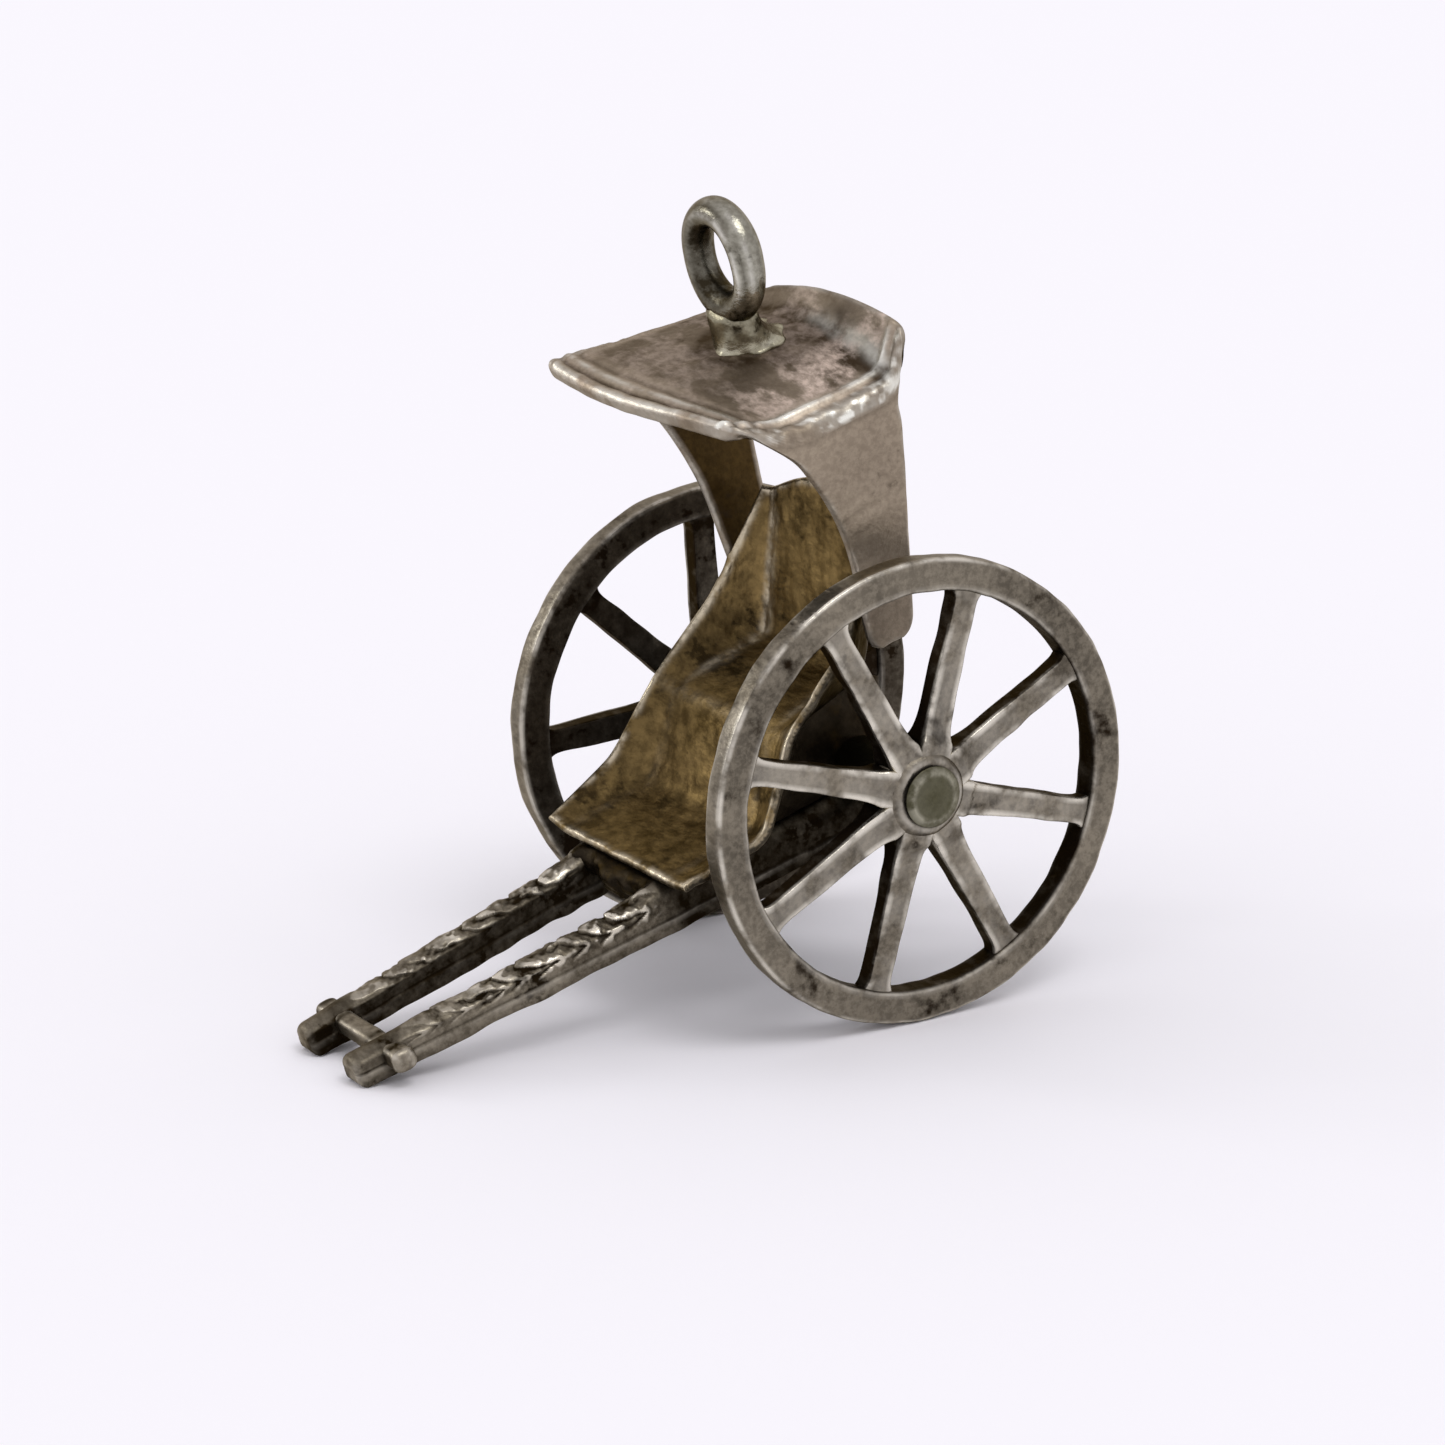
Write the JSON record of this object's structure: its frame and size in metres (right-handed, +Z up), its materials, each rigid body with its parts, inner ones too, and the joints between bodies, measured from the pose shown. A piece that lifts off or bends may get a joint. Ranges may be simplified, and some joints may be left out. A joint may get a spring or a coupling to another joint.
{
  "type": "pulled rickshaw charm",
  "caption": "Small silver charm in the form of a pulled rickshaw, with spoked wheels that turn, chased shafts, seat shell, bent hood and a bail ring on top.",
  "frame": {"origin": "on the floor, under the middle of the bounding box", "axes": "+X forward to the shaft tips, +Y to the passenger's left, +Z up"},
  "size_m": [0.0252, 0.0144, 0.0256],
  "materials": {
    "cast_silver": "aged cast silver, tarnished in the corners and rubbed bright on the edges",
    "axle_silver": "filed silver rod",
    "chased_silver": "cast silver with a chased upper side, dark in the strokes",
    "gilt_sheet": "stamped silver sheet, washed with worn gilding on its inner side",
    "sheet_silver": "bent silver sheet, tarnished brown, burnished along the bends",
    "wire_silver": "drawn silver wire",
    "solder": "silver solder, slightly green"
  },
  "bodies": {
    "chassis": {"axle": "axle_silver", "shaft_left": "chased_silver", "shaft_right": "chased_silver", "crossbar": "chased_silver", "seat_shell": "gilt_sheet", "hood": "sheet_silver", "bail_ring": "wire_silver", "bail_solder": "solder"},
    "wheel_left": {"wheel_left": "cast_silver"},
    "wheel_right": {"wheel_right": "cast_silver"}
  },
  "joints": [
    {"name": "wheel_left_spin", "type": "hinge", "parent": "chassis", "child": "wheel_left", "pos_m": [-0.00512, 0.00626, 0.0075], "axis": [0, 1, 0], "continuous": true},
    {"name": "wheel_right_spin", "type": "hinge", "parent": "chassis", "child": "wheel_right", "pos_m": [-0.00512, -0.00626, 0.0075], "axis": [0, 1, 0], "continuous": true}
  ]
}
